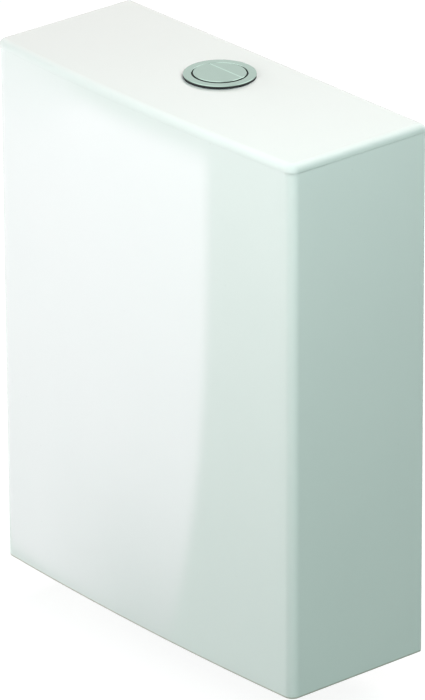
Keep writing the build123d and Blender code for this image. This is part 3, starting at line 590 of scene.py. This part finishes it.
ring_low, ring_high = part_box("button_bezel")
button_axis = ((ring_low.x + ring_high.x) / 2, (ring_low.y + ring_high.y) / 2)
ring_seat = ring_high.z - RING_THICKNESS
shoulder = []
for step in range(RING_SHOULDER_STEPS + 1):
    turn = math.radians(90 - 90 * step / RING_SHOULDER_STEPS)
    shoulder.append((RING_RADIUS - RING_SHOULDER + RING_SHOULDER * math.cos(turn),
                     ring_high.z - RING_SHOULDER + RING_SHOULDER * math.sin(turn)))
ring = turned([(RING_HOLE, ring_seat), (RING_HOLE, ring_high.z - RING_LEAD_IN),
               (RING_HOLE + RING_LEAD_IN, ring_high.z), *shoulder, (RING_RADIUS, ring_seat)], button_axis)
hand_over(ring, "button_bezel_flange", "lid", "chrome", "button_bezel")

# %% Gasket of the ring, whose black side is also painted shade
RING_GASKET_HOLE = mm(24.6)
RING_GASKET_INSET = mm(0.2)

ring_gasket_radius = RING_RADIUS - RING_GASKET_INSET
ring_gasket_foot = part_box("bezel_gasket")[0].z
# Real black rubber, and the dark line under the ring's edge as painted shade.
ring_gasket_and_shade_line = turned([(RING_GASKET_HOLE, ring_gasket_foot), (RING_GASKET_HOLE, ring_seat),
                      (ring_gasket_radius, ring_seat), (ring_gasket_radius, ring_gasket_foot)], button_axis)
hand_over(ring_gasket_and_shade_line, "bezel_gasket_and_shade_line", "lid", "black_rubber", "bezel_gasket")

# %% [markdown]
# ## Threads
#
# The free ends under the tank are threaded: the outlet with a coarse moulded thread, the water inlet with
# a pipe thread, and the two bolts with a fine metric one.
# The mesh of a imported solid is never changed, so a thread isn't cut into it. Each is a ridge with the
# profile of a diamond, wound on the end and half sunk into it.

# %% Ridges of the threads
RIDGE_CORNERS = 4
RIDGE_SHARE = 0.8


def centre_of(node):
    """Place of a node's upright axis."""
    low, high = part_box(node)
    return (low.x + high.x) / 2, (low.y + high.y) / 2


def thread(name, slot, size, levels, place):
    """Ridge of a given radius, pitch and height, wound round an upright end between two levels."""
    radius, pitch, proud = size
    low, high = levels
    turns = int((high - low) / pitch) - 1
    ridge = coil(RIDGE_CORNERS, (2 * proud, RIDGE_SHARE * pitch), radius, pitch, turns, place,
                 low + pitch / 2)
    hand_over(ridge, name, "tank", slot)


# %% Outlet, inlet and bolts
OUTLET_THREAD = mm(29.8, 3, 0.28)
OUTLET_LEVELS = mm(-33.8, -22.6)
INLET_THREAD = mm(10.48, 1.8, 0.3)
INLET_LEVELS = mm(-33.5, -1)
BOLT_THREAD = mm(4, 1.25, 0.25)
BOLT_LEVELS = mm(-39.5, -1.5)
BOLT_OFFSET = mm(75)

thread("outlet_thread", slot_of["flush_valve_base"], OUTLET_THREAD, OUTLET_LEVELS, (0, 0))
thread("inlet_thread", slot_of["fill_valve_shank"], INLET_THREAD, INLET_LEVELS, centre_of("shank_backnut"))
for side, label in ((-1, "left"), (1, "right")):
    bolt_axis = (side * BOLT_OFFSET, centre_of("coupling_bolts")[1])
    thread(f"bolt_thread_{label}", "steel", BOLT_THREAD, BOLT_LEVELS, bolt_axis)

# %% [markdown]
# ## Ribs
#
# The cap of the fill valve is turned by hand, so it has grip ribs. The float has ribs that stiffen its thin
# wall. One rib is modelled as a small block with worn edges. Each further one is a copy of the last, turned
# by one step round the axis.

# %% Ribs round the fill valve
RIB_EDGE_SHARE = 0.45
RIB_EDGE_STEPS = 2


def turn_mesh(angle, axis):
    """Turn the mesh of the active piece about an upright axis."""
    bpy.ops.object.mode_set(mode="EDIT")
    bpy.ops.mesh.select_all(action="SELECT")
    bpy.ops.transform.rotate(value=angle, orient_axis="Z", center_override=(*axis, 0))
    bpy.ops.object.mode_set(mode="OBJECT")


def ribs(name, body, node, radius, size, levels, count, first=0):
    """Upright ribs half sunk into a round wall, evenly spaced, from the first number on."""
    axis = centre_of("shank_backnut")
    depth, width = size
    low, high = levels
    bpy.ops.object.select_all(action="DESELECT")
    bpy.ops.mesh.primitive_cube_add(size=1, location=(axis[0] + radius, axis[1], (low + high) / 2))
    bpy.ops.transform.resize(value=(2 * depth, width, high - low))
    bpy.ops.object.transform_apply(location=True, rotation=True, scale=True)
    rounded_edges(bpy.context.object, depth * RIB_EDGE_SHARE, RIB_EDGE_STEPS)
    step = math.tau / count
    turn_mesh(first * step, axis)
    made = [bpy.context.object]
    for _ in range(first + 1, count):
        bpy.ops.object.duplicate()
        turn_mesh(step, axis)
        made.append(bpy.context.object)
    hand_over(joined(*made), name, body, slot_of[node])


# %% Grip ribs of the cap
GRIP_COUNT = 36
GRIP_SIZE = mm(0.6, 1.6)
GRIP_FOOT = mm(1)
GRIP_TOP = mm(15)

cap_low, cap_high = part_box("fill_valve_cap")
cap_radius = (cap_high.x - cap_low.x) / 2
ribs("cap_grip_ribs", "tank", "fill_valve_cap", cap_radius, GRIP_SIZE,
     (cap_low.z + GRIP_FOOT, cap_low.z + GRIP_TOP), GRIP_COUNT)

# %% [markdown]
# The first rib of the float would stand where the link to the arm is, so it is left out.

# %% Stiffening ribs of the float
FLOAT_RADIUS = mm(30)
FLOAT_RIB_COUNT = 12
FLOAT_RIB_SIZE = mm(0.8, 1.2)
FLOAT_RIB_END = mm(3)

float_low, float_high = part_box("fill_float")
ribs("float_ribs", "fill_float", "fill_float", FLOAT_RADIUS, FLOAT_RIB_SIZE,
     (float_low.z + FLOAT_RIB_END, float_high.z - FLOAT_RIB_END), FLOAT_RIB_COUNT, first=1)

# %% [markdown]
# ## Studio
#
# The product stands on a plain white floor. Straight to the camera, and in mirror-like surfaces, the floor
# is white paper that still takes a shadow. To everything else it is a greenish grey that bounces little
# light, so the sides of the box keep their tone. A Light Path node tells these rays apart.

# %% Floor
FLOOR_RADIUS = 9
FLOOR_GAP = mm(0.05)

bpy.ops.object.select_all(action="DESELECT")
bpy.ops.mesh.primitive_circle_add(vertices=TURN_STEPS, radius=FLOOR_RADIUS, fill_type="NGON",
                                  location=(0, 0, cad_box[0][2] - FLOOR_GAP))
floor = bpy.context.object
floor.name = "studio_floor"
print("floor at", round(floor.location.z, 4))

# %% Paper of the floor
FLOOR_BOUNCE = "#839E94"
FLOOR_PAPER = "#767978"
FLOOR_GLOW = 0.9


def seen_or_mirrored(tree):
    """One for rays from the camera and those that a mirror or glass sends on, else zero."""
    rays = add_node(tree, "ShaderNodeLightPath").outputs
    seen = add_node(tree, "ShaderNodeMath", {0: rays["Is Camera Ray"], 1: rays["Is Glossy Ray"]},
                    operation="MAXIMUM")
    return add_node(tree, "ShaderNodeMath", {0: seen, 1: rays["Is Transmission Ray"]}, operation="MAXIMUM")


def studio_floor():
    """White with a shadow for camera and mirrors, greenish grey for bounced light."""
    material, tree, _ = new_material("studio_floor")
    shown = seen_or_mirrored(tree)
    bounce = add_node(tree, "ShaderNodeBsdfDiffuse", {"Color": colour(FLOOR_BOUNCE)})
    paper = add_node(tree, "ShaderNodeBsdfDiffuse", {"Color": colour(FLOOR_PAPER)})
    glow = add_node(tree, "ShaderNodeEmission", {"Color": colour("#FFFFFF"), "Strength": FLOOR_GLOW})
    lit = add_node(tree, "ShaderNodeAddShader", {0: paper, 1: glow})
    shader = add_node(tree, "ShaderNodeMixShader", {"Fac": shown, 1: bounce, 2: lit})
    add_node(tree, "ShaderNodeOutputMaterial", {"Surface": shader})
    return material


floor.data.materials.append(studio_floor())
print("floor shows", FLOOR_PAPER, "and bounces", FLOOR_BOUNCE)

# %% [markdown]
# ## Light
#
# A white box shows its form only through tone, so each of its three faces gets a level of its own:
# the top is brightest, the bowed front a little less, and the right side the least.
# Six softboxes do that. The ones on the right are faintly green and the one at the back is faintly pink,
# as the tones of the photograph's shaded side and lit top ask.

# %% Softboxes
FRONT_TINT = "#FCFFFE"
SIDE_TINT = "#E9FFFA"
TOP_TINT = "#FFF3F1"

tank_low, tank_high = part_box("tank")
middle = (tank_low + tank_high) / 2


def softbox(name, place, size, power, tint):
    """Square lamp at a place, turned towards the middle of the tank."""
    lamp = bpy.data.lights.new(name, "AREA")
    lamp.size = size
    lamp.energy = power
    lamp.color = colour(tint)[:3]
    box = bpy.data.objects.new(name, lamp)
    box.location = place
    box.rotation_euler = (Vector(place) - middle).to_track_quat("Z", "Y").to_euler()
    box.visible_camera = False
    box.visible_glossy = False
    bpy.context.scene.collection.objects.link(box)


softbox("softbox_left_low", (-2.0, -1.0, 0.6), 1.0, 34.5, FRONT_TINT)
softbox("softbox_front_low", (0.3, -2.2, 0.8), 1.2, 7.4, FRONT_TINT)
softbox("softbox_front_near", (0.25, -0.75, 0.75), 0.5, 2.7, FRONT_TINT)
softbox("softbox_right_far", (2.2, -0.5, 1.8), 1.2, 12, SIDE_TINT)
softbox("softbox_right_near", (1.0, -0.2, 1.3), 0.8, 7.7, SIDE_TINT)
softbox("softbox_back_high", (-0.5, 1.5, 2.0), 1.2, 39.4, TOP_TINT)

# %% [markdown]
# ## Surroundings
#
# The camera and mirror-like surfaces see a white room. It sends no light of its own onto the object.
# The chrome shows what is in it: a bright ceiling and a window high at the back. Each is a round patch
# that glows where a direction comes near enough to its middle: the cosine of the angle between the two is
# compared with where the patch starts and where it is full.
# The lamps hide from mirrors, because the room already holds what should be seen there.

# %% White room
CEILING_TOWARDS = (-0.25, -0.3, 0.92)
CEILING_STARTS = 0.76
CEILING_FULL = 0.86
CEILING_GLOW = 0.8
WINDOW_TOWARDS = (0.3, 0.74, 0.6)
WINDOW_STARTS = 0.86
WINDOW_FULL = 0.92
WINDOW_GLOW = 0.8


def paint_room():
    """White for the camera and in reflections, black for everything that it would light."""
    world = bpy.data.worlds.new("studio_room")
    world.use_nodes = True
    bpy.context.scene.world = world
    tree = world.node_tree
    tree.nodes.clear()
    shown = seen_or_mirrored(tree)
    towards = add_node(tree, "ShaderNodeTexCoord").outputs["Generated"]
    whole = 1.0
    for middle_of, starts, full, glow in ((CEILING_TOWARDS, CEILING_STARTS, CEILING_FULL, CEILING_GLOW),
                                          (WINDOW_TOWARDS, WINDOW_STARTS, WINDOW_FULL, WINDOW_GLOW)):
        near = add_node(tree, "ShaderNodeVectorMath", {0: towards, 1: middle_of}, operation="DOT_PRODUCT")
        patch = add_node(tree, "ShaderNodeMapRange", {"Value": near.outputs["Value"], "From Min": starts,
                                                      "From Max": full, "To Max": glow})
        whole = add_node(tree, "ShaderNodeMath", {0: whole, 1: patch}, operation="ADD")
    strength = add_node(tree, "ShaderNodeMath", {0: whole, 1: shown}, operation="MULTIPLY")
    white = add_node(tree, "ShaderNodeBackground", {"Color": colour("#FFFFFF"), "Strength": strength})
    add_node(tree, "ShaderNodeOutputWorld", {"Surface": white})


paint_room()
print("room:", bpy.context.scene.world.name)

# %% [markdown]
# ## Card in the reflection
#
# The glaze mirrors a bright window on the left of the front, and its edge runs down the whole face.
# A glowing card that only reflections can see stands in for it. It hangs close to the front, so that it
# still shows at the foot of the face.

# %% Window card
CARD_FRONT = -0.13
CARD_LEFT = -0.45
CARD_RIGHT = 0.08
CARD_LOW = -0.039
CARD_TOP = 0.54

bpy.ops.object.select_all(action="DESELECT")
bpy.ops.mesh.primitive_plane_add(size=1, rotation=(UPRIGHT, 0, 0),
                                 location=((CARD_LEFT + CARD_RIGHT) / 2, CARD_FRONT,
                                           (CARD_LOW + CARD_TOP) / 2))
bpy.ops.transform.resize(value=(CARD_RIGHT - CARD_LEFT, 1, CARD_TOP - CARD_LOW))
bpy.ops.object.transform_apply(location=True, rotation=True, scale=True)
card = bpy.context.object
card.name = "window_card"
card.visible_camera = False
card.visible_diffuse = False
card.visible_transmission = False
card.visible_shadow = False
print("card from", CARD_LEFT, "to", CARD_RIGHT)

# %% [markdown]
# The card's right edge is almost straight and curves away to the left near the floor. Its top and its foot
# are soft, and the top fades over a longer way at the far left. The glow is weaker at the far left and
# towards the foot, as the real window's light falls off.

# %% Glow of the card
EDGE_AT = 0.0505
EDGE_SOFT = mm(8)
BOW_BELOW = 0.454
BOW_POWER = 3.0
BOW = 0.51
FADE_LEVEL = 0.447
FADE_LEFT, FADE_RIGHT = -0.22, -0.13
FADE_FAR = mm(90)
FADE_NEAR = mm(14)
FADE_FOOT = mm(24)
GLOW_LEFT, GLOW_RIGHT = -0.3, -0.12
GLOW_NEAR = 3.34
GLOW_FAR = 0.86 * GLOW_NEAR
DIM_BELOW = 0.2
DIM_POWER = 2.0
DIM_LEFT, DIM_RIGHT = -0.2, -0.05
DIM_NEAR = 12.5
DIM_FAR = 0.1 * DIM_NEAR
CARD_TINT = "#FFEAF8"


def glowing_card():
    """Glow with a bowed right edge, soft ends, and less light towards its far end and its foot."""
    material, tree, place = new_material("window_card")
    at = add_node(tree, "ShaderNodeSeparateXYZ", {"Vector": place}).outputs
    depth = add_node(tree, "ShaderNodeMath", {0: BOW_BELOW, 1: at["Z"]}, operation="SUBTRACT")
    curve = add_node(tree, "ShaderNodeMath", {0: depth, 1: BOW_POWER}, operation="POWER")
    bow = add_node(tree, "ShaderNodeMath", {0: curve, 1: BOW}, operation="MULTIPLY")
    reach = add_node(tree, "ShaderNodeMath", {0: at["X"], 1: bow}, operation="ADD")
    edge = add_node(tree, "ShaderNodeMapRange",
                    {"Value": reach, "From Min": EDGE_AT - EDGE_SOFT, "From Max": EDGE_AT + EDGE_SOFT,
                     "To Min": 1.0, "To Max": 0.0})
    half = add_node(tree, "ShaderNodeMapRange",
                    {"Value": at["X"], "From Min": FADE_LEFT, "From Max": FADE_RIGHT,
                     "To Min": FADE_FAR, "To Max": FADE_NEAR})
    none = add_node(tree, "ShaderNodeMath", {0: FADE_LEVEL, 1: half}, operation="ADD")
    full = add_node(tree, "ShaderNodeMath", {0: FADE_LEVEL, 1: half}, operation="SUBTRACT")
    top = add_node(tree, "ShaderNodeMapRange", {"Value": at["Z"], "From Min": none, "From Max": full},
                   interpolation_type="SMOOTHSTEP")
    foot = add_node(tree, "ShaderNodeMapRange",
                    {"Value": at["Z"], "From Min": CARD_LOW, "From Max": CARD_LOW + FADE_FOOT},
                    interpolation_type="SMOOTHSTEP")
    ends = add_node(tree, "ShaderNodeMath", {0: top, 1: foot}, operation="MULTIPLY")
    shown = add_node(tree, "ShaderNodeMath", {0: edge, 1: ends}, operation="MULTIPLY")
    across = add_node(tree, "ShaderNodeMapRange",
                      {"Value": at["X"], "From Min": GLOW_LEFT, "From Max": GLOW_RIGHT,
                       "To Min": GLOW_FAR, "To Max": GLOW_NEAR})
    under = add_node(tree, "ShaderNodeMath", {0: DIM_BELOW, 1: at["Z"]},
                     operation="SUBTRACT", use_clamp=True)
    fall = add_node(tree, "ShaderNodeMath", {0: under, 1: DIM_POWER}, operation="POWER")
    rate = add_node(tree, "ShaderNodeMapRange",
                    {"Value": at["X"], "From Min": DIM_LEFT, "From Max": DIM_RIGHT,
                     "To Min": DIM_FAR, "To Max": DIM_NEAR})
    loss = add_node(tree, "ShaderNodeMath", {0: fall, 1: rate}, operation="MULTIPLY")
    kept = add_node(tree, "ShaderNodeMath", {0: 1.0, 1: loss}, operation="SUBTRACT")
    level = add_node(tree, "ShaderNodeMath", {0: across, 1: kept}, operation="MULTIPLY")
    glow = add_node(tree, "ShaderNodeEmission", {"Color": colour(CARD_TINT), "Strength": level})
    clear = add_node(tree, "ShaderNodeBsdfTransparent")
    shader = add_node(tree, "ShaderNodeMixShader", {"Fac": shown, 1: clear, 2: glow})
    add_node(tree, "ShaderNodeOutputMaterial", {"Surface": shader})
    return material


card.data.materials.append(glowing_card())
print("card glows through", len(card.data.materials[0].node_tree.nodes), "nodes")

# %% [markdown]
# ## Camera
#
# A long lens from high on the right front corner, as in the photograph: the upright edges of the box stay
# almost parallel. The camera looks at a point close to the tank's middle.

# %% Camera
CAMERA_AZIMUTH = 50.03
CAMERA_ELEVATION = 23.62
CAMERA_ROLL = -0.31
CAMERA_DISTANCE = 6.1543
CAMERA_LENS_MM = 365.5
CAMERA_AIM = mm(-4.83, -5.77, 237.55)
CAMERA_CLIP_END = 100
SENSOR_MM = 36

azimuth = math.radians(CAMERA_AZIMUTH)
elevation = math.radians(CAMERA_ELEVATION)
away = Vector((math.sin(azimuth) * math.cos(elevation), -math.cos(azimuth) * math.cos(elevation),
               math.sin(elevation)))
camera = bpy.data.objects.new("camera", bpy.data.cameras.new("camera"))
camera.data.lens = CAMERA_LENS_MM
camera.data.sensor_width = SENSOR_MM
camera.data.clip_end = CAMERA_CLIP_END
camera.location = Vector(CAMERA_AIM) + CAMERA_DISTANCE * away
camera.rotation_euler = away.to_track_quat("Z", "Y").to_euler()
camera.rotation_euler.rotate_axis("Z", math.radians(CAMERA_ROLL))
bpy.context.scene.collection.objects.link(camera)
bpy.context.scene.camera = camera
bpy.context.scene.view_settings.view_transform = "Standard"
print("camera at", [round(v, 3) for v in camera.location])
